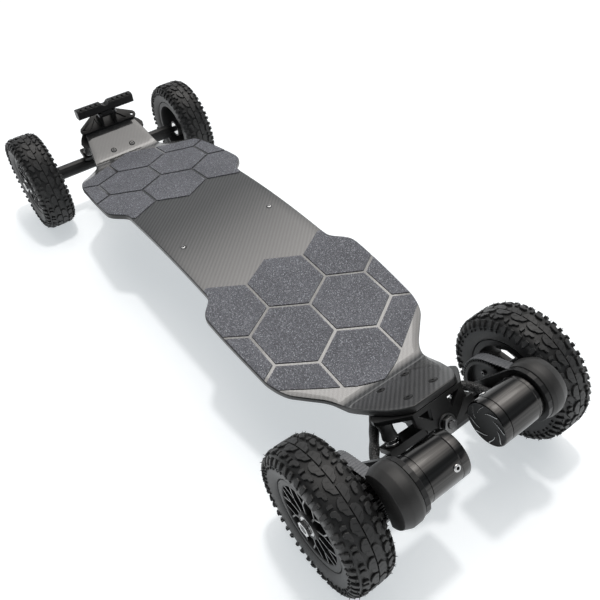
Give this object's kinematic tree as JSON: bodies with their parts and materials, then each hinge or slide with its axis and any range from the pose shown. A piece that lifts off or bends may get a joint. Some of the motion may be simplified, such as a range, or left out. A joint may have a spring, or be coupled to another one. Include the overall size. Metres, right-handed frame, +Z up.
{
  "type": "electric mountainboard",
  "caption": "Arched carbon deck with kicked-up ends on two tilting trucks, knobby air tyres, belt-driven rear wheels with twin motors and a lamp bar on the nose.",
  "frame": {"origin": "on the ground, midway between the axles and on the board's middle line", "axes": "+X forward along the deck, +Y to the rider's left of travel, +Z up"},
  "size_m": [1.1945, 0.41, 0.2319],
  "materials": {
    "carbon": "clear-coated carbon twill",
    "shell": "satin black moulding",
    "cells": "shrink-wrapped cells",
    "board": "finned heat sink",
    "black_alloy": "black anodised",
    "grey_alloy": "dark grey anodised",
    "motor": "dark brushed can",
    "steel": "bare steel",
    "tread": "knobby rubber",
    "damper": "moulded rubber",
    "sleeve": "braided sleeve",
    "belt": "toothed rubber belt",
    "lens": "clear lens"
  },
  "bodies": {
    "deck": {"deck_board": "carbon", "enclosure_tray": "shell", "battery_pack": "cells", "motor_controller": "board", "charge_port": "shell", "nose_bracket": "black_alloy", "lamp_tilt_bolt": "steel", "left_motor_cable": "sleeve", "right_motor_cable": "sleeve", "front_top_truck": "black_alloy", "front_king_bolt": "steel", "front_king_nut": "steel", "front_damper_left": "damper", "front_damper_right": "damper", "rear_top_truck": "black_alloy", "rear_king_bolt": "steel", "rear_king_nut": "steel", "rear_damper_left": "damper", "rear_damper_right": "damper"},
    "power_button": {"power_button": "steel"},
    "lamp": {"lamp_bar": "black_alloy", "lamp_lens": "lens"},
    "front_hanger": {"front_hanger": "black_alloy", "front_axle": "steel", "front_left_axle_nut": "steel", "front_right_axle_nut": "steel"},
    "front_left_wheel": {"front_left_tyre": "tread", "front_left_rim": "black_alloy", "front_left_bearing_inner": "steel", "front_left_bearing_outer": "steel"},
    "front_right_wheel": {"front_right_tyre": "tread", "front_right_rim": "black_alloy", "front_right_bearing_inner": "steel", "front_right_bearing_outer": "steel"},
    "rear_hanger": {"rear_hanger": "black_alloy", "rear_axle": "steel", "rear_left_axle_nut": "steel", "rear_right_axle_nut": "steel", "left_motor_mount": "black_alloy", "left_motor_can": "motor", "left_motor_end_cap": "motor", "left_pulley_cover": "grey_alloy", "left_belt": "belt", "right_motor_mount": "black_alloy", "right_motor_can": "motor", "right_motor_end_cap": "motor", "right_pulley_cover": "grey_alloy", "right_belt": "belt"},
    "rear_left_wheel": {"rear_left_tyre": "tread", "rear_left_rim": "black_alloy", "rear_left_bearing_inner": "steel", "rear_left_bearing_outer": "steel", "left_wheel_pulley": "black_alloy"},
    "rear_right_wheel": {"rear_right_tyre": "tread", "rear_right_rim": "black_alloy", "rear_right_bearing_inner": "steel", "rear_right_bearing_outer": "steel", "right_wheel_pulley": "black_alloy"},
    "left_motor_rotor": {"left_motor_pulley": "steel"},
    "right_motor_rotor": {"right_motor_pulley": "steel"}
  },
  "joints": [
    {"name": "front_steer", "type": "hinge", "parent": "deck", "child": "front_hanger", "pos_m": [0.52297, 0, 0.15469], "axis": [0.831, 0, 0.5563], "range_deg": [-20, 20], "stiffness_Nm_per_rad": 40, "deforming": ["front_damper_left", "front_damper_right"]},
    {"name": "rear_steer", "type": "hinge", "parent": "deck", "child": "rear_hanger", "pos_m": [-0.52297, 0, 0.15469], "axis": [-0.831, 0, 0.5563], "range_deg": [-20, 20], "stiffness_Nm_per_rad": 40, "deforming": ["rear_damper_left", "rear_damper_right", "left_motor_cable", "right_motor_cable"]},
    {"name": "front_left_spin", "type": "hinge", "parent": "front_hanger", "child": "front_left_wheel", "pos_m": [0.497, 0.172, 0.1], "axis": [0, 1, 0], "continuous": true},
    {"name": "front_right_spin", "type": "hinge", "parent": "front_hanger", "child": "front_right_wheel", "pos_m": [0.497, -0.172, 0.1], "axis": [0, 1, 0], "continuous": true},
    {"name": "rear_left_spin", "type": "hinge", "parent": "rear_hanger", "child": "rear_left_wheel", "pos_m": [-0.497, 0.172, 0.1], "axis": [0, 1, 0], "continuous": true},
    {"name": "rear_right_spin", "type": "hinge", "parent": "rear_hanger", "child": "rear_right_wheel", "pos_m": [-0.497, -0.172, 0.1], "axis": [0, 1, 0], "continuous": true},
    {"name": "left_rotor_spin", "type": "hinge", "parent": "rear_hanger", "child": "left_motor_rotor", "pos_m": [-0.558, 0.1225, 0.163], "axis": [0, 1, 0], "continuous": true},
    {"name": "right_rotor_spin", "type": "hinge", "parent": "rear_hanger", "child": "right_motor_rotor", "pos_m": [-0.558, -0.1225, 0.163], "axis": [0, 1, 0], "continuous": true},
    {"name": "lamp_tilt", "type": "hinge", "parent": "deck", "child": "lamp", "pos_m": [0.4658, 0, 0.2059], "axis": [0, 1, 0], "range_deg": [-30, 30]},
    {"name": "button_press", "type": "slide", "parent": "deck", "child": "power_button", "axis": [0, 1, 0], "range_m": [0, 0.0015], "stiffness_N_per_m": 600}
  ],
  "couplings": [
    {"joint": "left_rotor_spin", "follows": "rear_left_spin", "ratio": 3.875},
    {"joint": "right_rotor_spin", "follows": "rear_right_spin", "ratio": 3.875}
  ]
}
